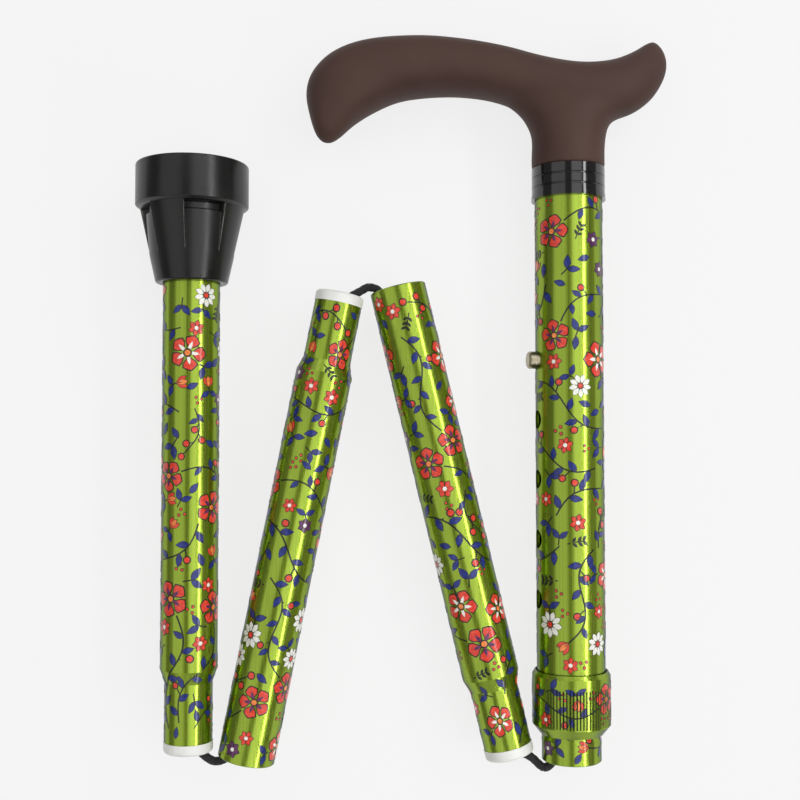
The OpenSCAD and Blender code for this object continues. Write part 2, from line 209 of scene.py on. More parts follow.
def green_lacquer(name, turn, grooves=None):
    """Clear green lacquer over drawn aluminium, with lines along the tube; painted shade, near black, where
    grooves says so.
    """
    f = Finish(name, metallic=0.9, coat_weight=0.5, coat_roughness=0.06, specular_tint=tone(24, 34, 10))
    fine = f.noise(1.0, 2.0, f.place((2400, 5, 2400), turn))
    broad = f.noise(1.0, 1.0, f.place((700, 3, 700), turn))
    clouds = f.noise(55.0)
    shade = f.spread(0.6 * fine + 0.2 * broad + 0.2 * clouds, 0.32, 0.68, 0.0, 1.0)
    color = f.mix(shade, tone(134, 158, 44), tone(157, 183, 56))
    # Painted shade: the ring's grooves are coloured near black, as if they lay in shadow.
    if grooves:
        color = f.mix(grooves(f), color, tone(16, 21, 8))
    f.set("base color", color)
    f.set("roughness", f.spread(fine, 0.3, 0.7, 0.2, 0.28))
    f.bump(fine, 0.012, 0.0002)
    return f.material


def print_ink(name, deep, light):
    """Ink under the clear coat, a little uneven in its cover."""
    f = Finish(name, coat_weight=0.5, coat_roughness=0.06, specular_ior_level=0.3)
    cover = f.noise(900.0, 3.0)
    f.set("base color", f.mix(f.spread(cover, 0.35, 0.65, 0.0, 1.0), deep, light))
    f.set("roughness", f.spread(cover, 0.3, 0.7, 0.3, 0.42))
    return f.material


def soft_touch_brown():
    """Matt rubbery paint with a very fine grain."""
    f = Finish("soft_touch_brown", specular_ior_level=0.22)
    clouds = f.noise(38.0, 3.0)
    grain = f.noise(4200.0)
    f.set("base color", f.mix(f.spread(clouds, 0.3, 0.7, 0.0, 1.0), tone(70, 50, 44), tone(78, 57, 50)))
    f.set("roughness", f.spread(grain, 0.3, 0.7, 0.52, 0.64))
    f.bump(grain, 0.12, 0.00006)
    return f.material


def gloss_black():
    """Polished black moulding with faint turning lines."""
    f = Finish("gloss_black", coat_weight=0.4, coat_roughness=0.04)
    lines = f.noise(1.0, 2.0, f.place((25, 3800, 25)))
    f.set("base color", f.mix(lines, tone(12, 12, 13), tone(22, 22, 23)))
    f.set("roughness", f.spread(lines, 0.3, 0.7, 0.08, 0.15))
    return f.material


def tip_rubber():
    """Moulded black rubber, satin, with dust-fine grain; painted highlight in light grey along the attribute
    "edge", at the windows' edges.
    """
    f = Finish("tip_rubber", specular_ior_level=0.44)
    grain = f.noise(2600.0, 3.0)
    clouds = f.noise(60.0)
    black = f.mix(f.spread(clouds, 0.3, 0.7, 0.0, 1.0), tone(12, 12, 12), tone(19, 19, 18))
    # Painted highlight: the windows' edges are coloured light grey, unevenly, where they would catch the
    # light.
    edge = f.node("ShaderNodeAttribute", out="Fac", attribute_name="edge")
    painted_edge_highlight = edge * f.spread(f.noise(700.0), 0.3, 0.6, 0.35, 1.0)
    f.set("base color", f.mix(painted_edge_highlight, black, tone(150, 150, 144)))
    f.set("roughness", f.spread(0.2 * grain + 0.8 * clouds, 0.35, 0.65, 0.25, 0.33))
    f.bump(grain, 0.03, 0.00004)
    return f.material


def satin_plastic(name, deep, light):
    """Plain injection-moulded plastic."""
    f = Finish(name)
    clouds = f.noise(90.0)
    grain = f.noise(3000.0)
    f.set("base color", f.mix(f.spread(clouds, 0.3, 0.7, 0.0, 1.0), deep, light))
    f.set("roughness", f.spread(grain, 0.3, 0.7, 0.34, 0.46))
    f.bump(grain, 0.06, 0.00004)
    return f.material


def bright_metal(name, deep, light, rough):
    """Plated or bare steel with light brushing."""
    f = Finish(name, metallic=1.0)
    lines = f.noise(1.0, 2.0, f.place((400, 5200, 400)))
    f.set("base color", f.mix(lines, deep, light))
    f.set("roughness", f.spread(lines, 0.3, 0.7, rough, rough + 0.12))
    return f.material


def woven_elastic():
    """Black braided cover of the elastic cord."""
    f = Finish("woven_elastic", sheen_weight=0.3, sheen_roughness=0.4)
    yarn = f.noise(5200.0, 3.0)
    f.set("base color", f.mix(yarn, tone(14, 14, 15), tone(38, 38, 40)))
    f.set("roughness", f.spread(yarn, 0.3, 0.7, 0.7, 0.9))
    f.bump(yarn, 0.3, 0.00008)
    return f.material


# Sections of the cane

def points_of(node):
    return np.array([v.co for v in NODES[node].data.vertices])


def frame_of(*ways_and_spot):
    """Matrix from its three axes and its origin."""
    made = Matrix.Identity(4)
    for column, way in enumerate(ways_and_spot):
        made.col[column] = (*way, 1.0 if column == 3 else 0.0)
    return made


def section(end_node, core_node, ahead):
    """Frame of a section: right, ahead and out of the fold plane, from the outer end of end_node."""
    ahead = Vector(ahead).normalized()
    right = ahead.cross(OUT)
    low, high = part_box(core_node)
    middle = (low + high) / 2
    reach = min((points_of(end_node) - np.array(middle)) @ np.array(ahead))
    return frame_of(right, ahead, OUT, middle + ahead * float(reach))


def against(joint):
    return -Vector(JOINTS[joint]["axis"])


UPPER = section("inner_tube", "elastic_top", against("height_adjust"))
SECOND = section("second_bush", "elastic_second", against("plug_1"))
THIRD = section("third_bush", "elastic_third", against("plug_2"))
TIP = section("tip_bush", "elastic_tip", against("plug_3"))


def turn_of(place):
    """Turn of a section in the picture, about the upward axis."""
    return math.atan2(-place.col[1][0], place.col[1][1])


def loose(name, data):
    """Puts an object with that data into the scene."""
    made = bpy.data.objects.new(name, data)
    bpy.context.scene.collection.objects.link(made)
    return made


def piece(name, mesh, body):
    """Puts a finished mesh into the scene on a body of the cane."""
    made = loose(name, mesh)
    mesh.shade_smooth()
    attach(made, body)
    return made


def mesh_from(shapes, name):
    """A mesh of what a bmesh holds; the bmesh is freed."""
    mesh = bpy.data.meshes.new(name)
    shapes.to_mesh(mesh)
    shapes.free()
    return mesh


def settled(thing):
    """The object's mesh with its modifiers taken in, and the object gone."""
    bpy.context.view_layer.update()
    graph = bpy.context.evaluated_depsgraph_get()
    mesh = bpy.data.meshes.new_from_object(thing.evaluated_get(graph), depsgraph=graph)
    bpy.data.objects.remove(thing)
    return mesh


# Camera: straight above the fold plane, a little from below the picture's middle

VIEW_DISTANCE = 0.3979
VIEW_PITCH = math.radians(2.39)
# Focal length as a share of the picture's width, and the point that the camera looks at
FOCAL_SHARE = 1120 / 800
VIEW_AIM = (-60.2, 126.0, 0)
camera = loose("camera", bpy.data.cameras.new("camera"))
bpy.context.scene.camera = camera
camera.data.sensor_width = 36.0
camera.data.lens = camera.data.sensor_width * FOCAL_SHARE
camera.data.clip_start = 0.01
right, up = UPPER.col[0].xyz, UPPER.col[1].xyz
back = OUT * math.cos(VIEW_PITCH) - up * math.sin(VIEW_PITCH)
aim = UPPER @ (Vector(VIEW_AIM) * MM)
camera.matrix_world = frame_of(right, back.cross(right), back, aim + back * VIEW_DISTANCE)


# Floral print: flat drawings in millimetres, each a list of coloured patches

# Each ink where it covers well, and where it is thin
INKS = {
    "red": (tone(206, 48, 34), tone(232, 76, 52)),
    "white": (tone(226, 226, 214), tone(244, 244, 238)),
    "navy": (tone(22, 32, 98), tone(36, 54, 134)),
    "purple": (tone(74, 30, 74), tone(104, 48, 100)),
    "orange": (tone(226, 110, 52), tone(244, 150, 78)),
    "line": (tone(20, 24, 16), tone(34, 38, 26)),
}


def turns(count):
    """Even steps of angle round a circle."""
    return [math.tau * k / count for k in range(count)]


def polar(spot, reach, turn):
    """The point at that reach from a spot, in that direction."""
    return (spot[0] + reach * math.cos(turn), spot[1] + reach * math.sin(turn))


def almond(foot, turn, length, width, bulge):
    """Outline of a leaf or petal; a bulge above 1 puts its widest part near the tip."""
    rows = [(s, math.sin(math.pi * s ** bulge)) for s in (0.2, 0.45, 0.7, 0.9)]
    right_side = [(s * length, -w * width / 2) for s, w in rows]
    left_side = [(s * length, w * width / 2) for s, w in reversed(rows)]
    c, s = math.cos(turn), math.sin(turn)
    outline = [(0, 0), *right_side, (length, 0), *left_side]
    return [(foot[0] + x * c - y * s, foot[1] + x * s + y * c) for x, y in outline]


def circle(centre, radius, count=9):
    return [polar(centre, radius, a) for a in turns(count)]


def filled(outline, ink, step=0, edge=None, edge_ink="line"):
    """Patches that fill an outline, with a drawn edge of its own colour if edge gives its width."""
    count = len(outline)
    middle = (sum(p[0] for p in outline) / count, sum(p[1] for p in outline) / count)
    patches = []
    if edge:
        reach = max(math.dist(p, middle) for p in outline)
        keep = 1 - edge / reach
        inner = [(middle[0] + (x - middle[0]) * keep, middle[1] + (y - middle[1]) * keep) for x, y in outline]
        for k in range(count):
            n = (k + 1) % count
            patches.append(((outline[k], outline[n], inner[n], inner[k]), edge_ink, step))
        outline = inner
    for k in range(count):
        patches.append(((middle, outline[k], outline[(k + 1) % count]), ink, step))
    return patches


def stem(route, width):
    """Thin drawn line through points."""
    patches = []
    sides = []
    for k, (x, y) in enumerate(route):
        ahead = route[min(k + 1, len(route) - 1)]
        behind = route[max(k - 1, 0)]
        length = math.dist(ahead, behind)
        across = (-(ahead[1] - behind[1]) / length * width / 2, (ahead[0] - behind[0]) / length * width / 2)
        sides.append(((x - across[0], y - across[1]), (x + across[0], y + across[1])))
    for (a, b), (c, d) in zip(sides, sides[1:]):
        patches.append(((a, c, d, b), "line", 0))
    return patches


def arc(length, bend, count=12):
    """Points along a curved stem that is centred on the origin."""
    route = []
    for k in range(count + 1):
        s = k / count - 0.5
        route.append((s * length, bend * math.cos(math.pi * s) - bend / 2))
    return route


def moved(patches, spot, turn=0.0, size=1.0):
    c, s = size * math.cos(turn), size * math.sin(turn)
    return [(tuple((spot[0] + x * c - y * s, spot[1] + x * s + y * c) for x, y in corners), ink, step)
            for corners, ink, step in patches]


def heading(route, k):
    before, after = route[max(k - 1, 0)], route[min(k + 1, len(route) - 1)]
    return math.atan2(after[1] - before[1], after[0] - before[0])


def rose(heart):
    """Five broad petals; the heart's colour runs out along each of them."""
    patches = []
    for turn in turns(5):
        foot = polar((0, 0), 0.6, turn)
        patches += filled(almond(foot, turn, 5.1, 5.0, 1.5), "red", 0, 0.5)
        reaches = ((0.9, -0.6), (2.0, -0.25), (3.1, 0.0), (2.0, 0.25), (0.9, 0.6))
        flame = [polar(foot, r, turn + a) for r, a in reaches]
        patches += filled(flame, heart, 1)
    return patches + filled(circle((0, 0), 1.3), "orange", 2, 0.4)


def daisy():
    patches = []
    for turn in turns(9):
        foot = polar((0, 0), 0.6, turn)
        patches += filled(almond(foot, turn, 3.5, 1.9, 1.25), "white", 0, 0.16)
    return patches + filled(circle((0, 0), 1.2), "red", 2, 0.35)


def starlet(ink):
    patches = []
    for turn in turns(6):
        patches += filled(almond((0, 0), turn, 2.8, 2.0, 1.1), ink, 0, 0.3)
    return patches + filled(circle((0, 0), 0.7, 7), "white", 2)


def tulip():
    patches = []
    for turn, ink in ((-0.42, "red"), (0.42, "red"), (0.0, "orange")):
        patches += filled(almond((0, 0), turn, 4.4, 2.1, 1.2), ink, 0 if turn else 1, 0.35)
    return patches


def leaf(spot, turn, length):
    return filled(almond(spot, turn, length, 0.52 * length, 0.85), "navy", 1, 0.3)


def vine(length, sway, head, head_reach):
    """Swaying stem with leaves on alternate sides, two berries and a flower at its end."""
    count = 16
    route = [(length * (k / count - 0.5), sway * math.sin(math.tau * k / count)) for k in range(count + 1)]
    patches = stem(route, 0.5)
    for k in range(1, count - 2, 2):
        side = 1 if k % 4 == 1 else -1
        patches += leaf(route[k], heading(route, k) + side * 0.9, 4.9 - 0.08 * k)
    for k, side in ((4, 1), (10, -1)):
        turn = heading(route, k) + side * 1.0
        tip = polar(route[k], 3.4, turn)
        patches += stem([route[k], tip], 0.42)
        patches += filled(circle(tip, 1.35), "red", 1, 0.4)
    end = heading(route, count)
    middle = polar(route[-1], head_reach, end)
    patches += moved(head, middle, end)
    return patches, [(x, y, 3.0) for x, y in route[1:-1:2]] + [(*middle, max(head_reach + 0.6, 2.8))]


def berries(length, bend):
    """Curved stem with berries on short stalks."""
    route = arc(length, bend, 9)
    patches = stem(route, 0.45)
    for count, k in enumerate((3, 5, 7, 9)):
        side = 1 if count % 2 else -1
        turn = heading(route, k) + (side * 0.8 if k < 9 else 0)
        tip = polar(route[k], 2.6, turn)
        patches += stem([route[k], tip], 0.4)
        patches += filled(circle(tip, 1.4), "red", 1, 0.4)
    patches += leaf(route[1], 0.9, 4.0) + leaf(route[2], -0.9, 3.8)
    return patches, [(x, y, 2.7) for x, y in route[1::2]]


def twig():
    """Short dark twig with small leaves in pairs."""
    patches = stem([(-3.2, 0), (0, 0.2), (2.6, 0)], 0.4)
    for x in (-1.6, 0.2, 1.8):
        for side in (-1, 1):
            patches += filled(almond((x, 0.1), side * 0.9, 2.1, 1.0, 0.9), "line", 1)
    return patches, [(-1.5, 0, 2.2), (1.5, 0, 2.2)]


def bloom_with_leaves(head, reach, stalk):
    """A flower with a pair of leaves on a short stalk."""
    patches = stem([(-reach - stalk, -0.6), (-reach, 0), (0, 0)], 0.45) if stalk else []
    for side in (-1, 1):
        foot = (-reach - stalk * 0.6, -0.3)
        patches += leaf(foot, math.pi / 2 * side + 0.5 * side, 4.2)
    spots = [(0, 0, reach + 0.5), (-reach - stalk * 0.6, 0, 3.4)]
    return patches + head, spots


def leaf_pair():
    patches = stem([(-2.4, 0), (0, 0)], 0.4) + leaf((0, 0), 0.75, 4.6) + leaf((0, 0), -0.75, 4.3)
    return patches, [(0.8, 0, 2.7)]


def single_leaf():
    return leaf((-2.2, 0), 0.0, 4.4), [(0, 0, 2.2)]


def dots():
    patches = []
    for centre in ((0, 1.0), (-1.0, -0.7), (1.0, -0.7)):
        patches += filled(circle(centre, 0.62, 7), "red", 0, 0.22)
    return patches, [(0, 0, 1.7)]


DRAWINGS = [
    vine(34, 3.2, rose("purple"), 5.2),
    vine(30, -3.0, tulip(), 0.0),
    vine(28, 2.6, starlet("purple"), 2.6),
    bloom_with_leaves(rose("white"), 5.4, 1.6),
    bloom_with_leaves(daisy(), 3.9, 1.6),
    bloom_with_leaves(starlet("purple"), 2.8, 1.4),
    berries(15, 3.0),
    berries(14, -3.0),
    bloom_with_leaves(moved(tulip(), (-1.5, 0)), 1.8, 1.6),
    twig(),
    leaf_pair(),
    single_leaf(),
    dots(),
    (starlet("red"), [(0, 0, 2.9)]),
]
# Which drawing comes when, with how many tries; the big ones first
ORDER = [(0, 60), (3, 30), (1, 40), (4, 40), (2, 60), (6, 60), (3, 24), (7, 60), (8, 80), (5, 90), (4, 60),
         (13, 80), (10, 160), (9, 140), (11, 340), (12, 240)]
# How close drawings come, as a share of their reach, and how much smaller or larger one may be
CLOSENESS = 0.9
RESIZED = (0.96, 1.18)
# A place that no drawing comes near
FAR_AWAY = (1e6, 1e6, 0.0)
# Drawings lie at one of these steps in height, so that two that touch are seldom level
HAIR_STEP = 0.0014
HAIR_STEPS = 8
# Height of the ink over the tube, of one patch over another, and its depth
INK_LIFT = 0.075
INK_STEP = 0.012
INK_DEPTH = 0.12
# Patches of ink closer than this grow together, in metres
INK_JOIN = 2e-6


def drawing_mesh(number, patches):
    """One drawing as a flat mesh in metres, with its inks on its faces."""
    shapes = bmesh.new()
    ink_layer = shapes.faces.layers.int.new("ink")
    for corners, ink, step in patches:
        verts = [shapes.verts.new((x * MM, y * MM, (INK_LIFT + INK_STEP * step) * MM)) for x, y in corners]
        face = shapes.faces.new(verts)
        face[ink_layer] = list(INKS).index(ink)
    bmesh.ops.remove_doubles(shapes, verts=shapes.verts, dist=INK_JOIN)
    return mesh_from(shapes, "drawing_%d" % number)


def scatter(width, low, high, seed, kept_free=()):
    """Places for drawings on a strip that closes on itself across its width."""
    draw = random.Random(seed)
    taken = np.array(list(kept_free) or [FAR_AWAY])
    rows = []
    for kind, tries in ORDER:
        for _ in range(tries):
            x, y = draw.uniform(-width / 2, width / 2), draw.uniform(low, high)
            turn, size = draw.uniform(-math.pi, math.pi), draw.uniform(*RESIZED)
            c, s = size * math.cos(turn), size * math.sin(turn)
            reach = size * CLOSENESS
            spots = np.array([(x + px * c - py * s, y + px * s + py * c, r * reach)
                              for px, py, r in DRAWINGS[kind][1]])
            if (spots[:, 1] - spots[:, 2]).min() < low or (spots[:, 1] + spots[:, 2]).max() > high:
                continue
            across = np.abs(spots[:, None, 0] - taken[None, :, 0]) % width
            across = np.minimum(across, width - across)
            along = spots[:, None, 1] - taken[None, :, 1]
            if (np.hypot(across, along) < spots[:, None, 2] + taken[None, :, 2]).any():
                continue
            taken = np.vstack([taken, spots])
            rows.append((x, y, kind, turn, size))
    return rows


def new_tree(name, sizes):
    """An empty tree for geometry with named sizes, its inputs, and the identifiers of the sizes."""
    tree = bpy.data.node_groups.new(name, "GeometryNodeTree")
    tree.interface.new_socket("Geometry", in_out="INPUT", socket_type="NodeSocketGeometry")
    tree.interface.new_socket("Geometry", in_out="OUTPUT", socket_type="NodeSocketGeometry")
    named = [tree.interface.new_socket(size, in_out="INPUT", socket_type="NodeSocketFloat").identifier
             for size in sizes]
    graph = Graph(tree)
    return graph, graph.node("NodeGroupInput", out=None), named


def attribute(graph, name, kind):
    return graph.node("GeometryNodeInputNamedAttribute", {"Name": name}, out="Attribute", data_type=kind)


def equal(graph, first, number):
    sockets = {"A_INT": first, "B_INT": number}
    return graph.node("FunctionNodeCompare", sockets, data_type="INT", operation="EQUAL")


def scatter_tree(drawings):
    """Sets each drawing on its points, turned and sized, and makes one flat mesh of them."""
    graph, (spots, *_), _ = new_tree("scatter_drawings", ())
    points = graph.node("GeometryNodeMeshToPoints", {"Mesh": spots})
    kind = attribute(graph, "kind", "INT")
    turn = graph.node("ShaderNodeCombineXYZ", {"Z": attribute(graph, "turn", "FLOAT")})
    size = attribute(graph, "size", "FLOAT")
    placed = []
    for number, thing in enumerate(drawings):
        shape = graph.node("GeometryNodeObjectInfo", {"Object": thing}, out="Geometry")
        sockets = {"Points": points, "Instance": shape, "Rotation": turn, "Scale": size}
        sockets["Selection"] = equal(graph, kind, number)
        placed.append(graph.node("GeometryNodeInstanceOnPoints", sockets))
    joined = graph.node("GeometryNodeJoinGeometry", {0: placed})
    flat = graph.node("GeometryNodeRealizeInstances", {"Geometry": joined})
    graph.node("NodeGroupOutput", {0: flat})
    return graph.tree


def wrap_tree(inks):
    """Bends a flat print round a tube that may have a neck, and gives each patch its ink."""
    sizes = ("Tube radius", "End radius", "Change from", "Change to")
    graph, (flat, tube, end_radius, low, high, *_), named = new_tree("wrap_print", sizes)
    place = graph.node("GeometryNodeInputPosition")
    across, along, lift = graph.node("ShaderNodeSeparateXYZ", {0: place}, out=None)
    sockets = {"Value": along, "From Min": low, "From Max": high, "To Min": end_radius, "To Max": tube}
    radius = graph.node("ShaderNodeMapRange", sockets) + lift
    angle = across / tube
    x = radius * angle.maths("SINE")
    z = radius * angle.maths("COSINE")
    bent = graph.node("ShaderNodeCombineXYZ", {"X": x, "Y": along, "Z": z})
    shape = graph.node("GeometryNodeSetPosition", {"Geometry": flat, "Position": bent})
    shape = graph.node("GeometryNodeRealizeInstances", {"Geometry": shape})
    ink = attribute(graph, "ink", "INT")
    for number, material in enumerate(inks):
        chosen = {"Geometry": shape, "Selection": equal(graph, ink, number), "Material": material}
        shape = graph.node("GeometryNodeSetMaterial", chosen)
    graph.node("NodeGroupOutput", {0: shape})
    return graph.tree, named


def point_cloud(name, rows):
    """A mesh of bare points that carries kind, turn and size."""
    mesh = bpy.data.meshes.new(name)
    spots = [(x * MM, y * MM, k % HAIR_STEPS * HAIR_STEP * MM) for k, (x, y, *_) in enumerate(rows)]
    mesh.from_pydata(spots, [], [])
    for label, kind, column in (("kind", "INT", 2), ("turn", "FLOAT", 3), ("size", "FLOAT", 4)):
        mesh.attributes.new(label, kind, "POINT").data.foreach_set("value", [r[column] for r in rows])
    return mesh


def with_tree(thing, tree, values=None):
    modifier = thing.modifiers.new(tree.name, "NODES")
    modifier.node_group = tree
    for identifier, value in (values or {}).items():
        modifier[identifier] = value
    return thing


inks = [print_ink("ink_" + name, *tones) for name, tones in INKS.items()]
drawing_things = [loose("drawing_%d" % number, drawing_mesh(number, patches))
                  for number, (patches, _) in enumerate(DRAWINGS)]
SCATTER = scatter_tree(drawing_things)
WRAP, WRAP_SIZES = wrap_tree(inks)
# A face of the print looks outward if its normal goes along the tube's by more than this
OUTWARD = 0.7


def outward_normals(mesh, place):
    """Lets the print's skin shade as the round tube does, so that a highlight runs on across it."""
    axis_point, axis = place.col[3].xyz, place.col[1].xyz
    normals = []
    for face in mesh.polygons:
        for corner in face.loop_indices:
            spot = mesh.vertices[mesh.loops[corner].vertex_index].co - axis_point
            away = (spot - axis * spot.dot(axis)).normalized()
            normals.append(away if face.normal.dot(away) > OUTWARD else face.normal.copy())
    mesh.normals_split_custom_set(normals)


def print_on(name, body, place, radius, end_radius, change, low, high, seed, kept_free=(), cut=None):
    """Floral print round a tube, as thin ink that follows its surface."""
    rows = scatter(math.tau * radius, low, high, seed, kept_free)
    flat = settled(with_tree(loose(name + "_points", point_cloud(name + "_points", rows)), SCATTER))
    if cut:
        shapes = bmesh.new()
        shapes.from_mesh(flat)
        cut(shapes)
        shapes.to_mesh(flat)
        shapes.free()
    sizes = (radius, end_radius, *change)
    values = {identifier: size * MM for identifier, size in zip(WRAP_SIZES, sizes)}
    bent = with_tree(loose(name + "_flat", flat), WRAP, values)
    wall = bent.modifiers.new("depth", "SOLIDIFY")
    wall.thickness = INK_DEPTH * MM
    wall.offset = -1.0
    mesh = settled(bent)
    mesh.name = name
    mesh.transform(place)
    piece(name, mesh, body)
    outward_normals(mesh, place)


# Adjusting holes on the flat print: across it, along it, and the room that drawings leave there
HOLE_TURN = math.radians(10) - math.pi / 2
TOP_HOLE = 140
HOLE_PITCH = 21
HOLE_COUNT = 5
HOLE_ROOM = 3.7
HOLES = [(HOLE_TURN * UPPER_R, TOP_HOLE - HOLE_PITCH * k, HOLE_ROOM) for k in range(HOLE_COUNT)]
# Radius and sides of the cut that takes out what still comes near a hole
HOLE_R = 3.5
HOLE_SIDES = 20
# Points that close to a cut lie on it, in metres
CUT_NEAR = 1e-7
# Change of radius on a tube that has none
STRAIGHT = (0, 1)


def cut_at_holes(shapes):
    """Takes the flat print out of the adjusting holes."""
    for x, y, _ in HOLES:
        centre = Vector((x, y, 0)) * MM
        reach = HOLE_R * MM
        faces = [f for f in shapes.faces if min((v.co - centre).length for v in f.verts) < 2 * reach]
        near = dict.fromkeys(part for f in faces for part in (f, *f.edges, *f.verts))
        for a in turns(HOLE_SIDES):
            way = Vector((math.cos(a), math.sin(a), 0))
            rim = centre + way * reach
            cut = bmesh.ops.bisect_plane(shapes, geom=list(near), dist=CUT_NEAR, plane_co=rim, plane_no=way)
            near.update(dict.fromkeys(cut["geom"]))
        inside = [f for f in near if isinstance(f, bmesh.types.BMFace)
                  and (f.calc_center_median() - centre).length < reach]
        bmesh.ops.delete(shapes, geom=inside, context="FACES")


print_on("upper_print", "handle_section", UPPER, UPPER_R, UPPER_R, STRAIGHT, 32.0, 196.6, 11, HOLES,
         cut_at_holes)
print_on("adjusting_print", "adjusting_section", UPPER, TUBE_R, MOUTH_R, FLARE, 0.9, 95, 23)
print_on("second_print", "second_section", SECOND, TUBE_R, NECK_R, SHOULDER, 4.2, 168.2, 31)
print_on("third_print", "third_section", THIRD, TUBE_R, NECK_R, SHOULDER, 4.2, 166.2, 47)
print_on("tip_print", "tip_section", TIP, TUBE_R, NECK_R, SHOULDER, 4.2, 164.3, 59)

# Lock ring: fine grip grooves in two panels, front and back, cut its print into strips
GROOVES = 25
GROOVE_R = 0.24
PANEL = math.radians(116)
PANEL_TURN = math.radians(14)
GROOVE_SPAN = (13.1, 26.2)
# Length over which the painted shade in a groove fades out, in metres
GROOVE_SHADE_FADE = 0.0001


def painted_groove_shade(f):
    """Mask of the ring's grip grooves for their painted shade, from the angle round its axis and the height
    on it.
    """
    where = f.node("ShaderNodeTexCoord", out="Object")
    x, y, z = f.node("ShaderNodeSeparateXYZ", {0: where}, out=None)
    axis = UPPER.col[3]
    angle = (x - axis[0]).maths("ARCTAN2", z - axis[2])
    angle = angle - math.atan2(OUT[0], OUT[2]) - PANEL_TURN
    folded = angle.maths("ABSOLUTE").maths("PINGPONG", math.pi / 2)
    pitch = PANEL / (GROOVES - 1)
    aside = folded.maths("PINGPONG", pitch / 2)
    line = f.spread(aside, 0.6 * GROOVE_R / RING_R, 1.1 * GROOVE_R / RING_R, 1.0, 0.0)
    panel = f.spread(folded, PANEL / 2 + pitch * 0.45, PANEL / 2 + pitch * 0.5, 1.0, 0.0)
    low, high = (axis[1] + v * MM for v in GROOVE_SPAN)
    above = f.spread(y, low, low + GROOVE_SHADE_FADE, 0.0, 1.0)
    below = f.spread(y, high - GROOVE_SHADE_FADE, high, 1.0, 0.0)
    return line * panel * (above * below)


def cut_at_grooves(shapes):
    """Takes the flat print out of the grooves."""
    middles = (PANEL_TURN, PANEL_TURN - math.pi)
    angles = [middle + PANEL * (k / (GROOVES - 1) - 0.5) for middle in middles for k in range(GROOVES)]
    centres = [(a if a > -math.pi else a + math.tau) * RING_R * MM for a in angles]
    planes = [((centre + side * GROOVE_R * MM, 0, 0), (1, 0, 0)) for centre in centres for side in (-1, 1)]
    planes += [((0, height * MM, 0), (0, 1, 0)) for height in GROOVE_SPAN]
    for point, normal in planes:
        everything = shapes.verts[:] + shapes.edges[:] + shapes.faces[:]
        bmesh.ops.bisect_plane(shapes, geom=everything, dist=CUT_NEAR, plane_co=point, plane_no=normal)
    sunk = []
    for face in shapes.faces:
        x, y, _ = face.calc_center_median()
        if GROOVE_SPAN[0] * MM < y < GROOVE_SPAN[1] * MM and min(abs(x - c) for c in centres) < GROOVE_R * MM:
            sunk.append(face)
    bmesh.ops.delete(shapes, geom=sunk, context="FACES")


print_on("ring_print", "lock_ring", UPPER, RING_R, RING_R, STRAIGHT, 12.8, 29.7, 71, (), cut_at_grooves)
for thing in drawing_things:
    bpy.data.objects.remove(thing)


# Handle: the grip and the stem that flares out of the collar, drawn together into one soft form

# Rows of the grip: its upper point, its lower point and half its depth
GRIP = [(-88, 9.5, -84.6, 9.3, 1.6), (-90.6, 12.8, -81, 12.4, 5.6), (-92.8, 20, -76.6, 16.6, 8.8),
        (-94, 28, -71, 20.4, 11.2), (-91.4, 35.6, -66, 23, 12.6), (-84, 42.4, -61.5, 24.9, 13),
        (-72, 46.5, -56, 26.2, 13.2), (-54, 47.8, -47, 27.1, 13.1), (-38, 46.6, -38, 27.1, 12.8),
        (-23, 44, -27, 25.6, 12.6), (-9, 40.3, -14, 21.5, 12.8), (4, 38.3, 4, 17.8, 12.8),
        (15, 39.2, 20, 19.4, 11.8), (23, 42.3, 29, 24.4, 9.6), (28, 45.6, 34, 31.2, 6.6),
        (30.4, 46.8, 35.8, 37.2, 4.2), (31.6, 46.6, 34.9, 42.6, 1.6)]
# Rows of the stem: height, reach to the left and to the right, and half its depth
STEM = [(0, 13, 13, 13), (6, 13, 13, 13), (12, 13, 13.6, 13), (16.6, 14.8, 15.2, 12.9),
        (20.2, 17.4, 20.4, 12.5), (23.4, 21.4, 26, 11.6), (26.4, 25, 27, 9.6)]
HANDLE_STEPS = 8
ROUNDNESS = 2.25
SIDES = 64
# The handle's round end inside the collar
SPIGOT_R = 10.75
SPIGOT_ROWS = (-30, -20, -10, 2)
HANDLE_VOXEL = 0.62
# Rounds of smoothing over the whole handle, and then over its soft part
EVEN_ROUNDS = 12
SOFT_ROUNDS = 70
# Up to this height over the collar the stem keeps its sharp rim, and from twice this height on all is soft
SHARP_RIM = 4.0


def smooth_rows(rows, steps):
    """Smooth curve through rows of numbers."""
    rows = np.array(rows, float)
    last = len(rows) - 1
    found = []
    for i in range(last):
        a, b, c, d = rows[max(i - 1, 0)], rows[i], rows[i + 1], rows[min(i + 2, last)]
        for k in range(steps):
            t = k / steps
            found.append(0.5 * (2 * b + (c - a) * t + (2 * a - 5 * b + 4 * c - d) * t ** 2
                                + (3 * b - a - 3 * c + d) * t ** 3))
    return found + [rows[last]]


def bridge(shapes, loops):
    """Faces from each loop of vertices to the next."""
    count = len(loops[0])
    for one, two in zip(loops, loops[1:]):
        for k in range(count):
            n = (k + 1) % count
            shapes.faces.new((one[k], one[n], two[n], two[k]))


def skin(shapes, rings):
    """Closed skin over rings of points."""
    loops = [[shapes.verts.new(p) for p in ring] for ring in rings]
    bridge(shapes, loops)
    shapes.faces.new(list(reversed(loops[0])))
    shapes.faces.new(loops[-1])


def rounded(value):
    """A sine or cosine bent towards a squarer section than a round one."""
    return math.copysign(abs(value) ** (2 / ROUNDNESS), value)


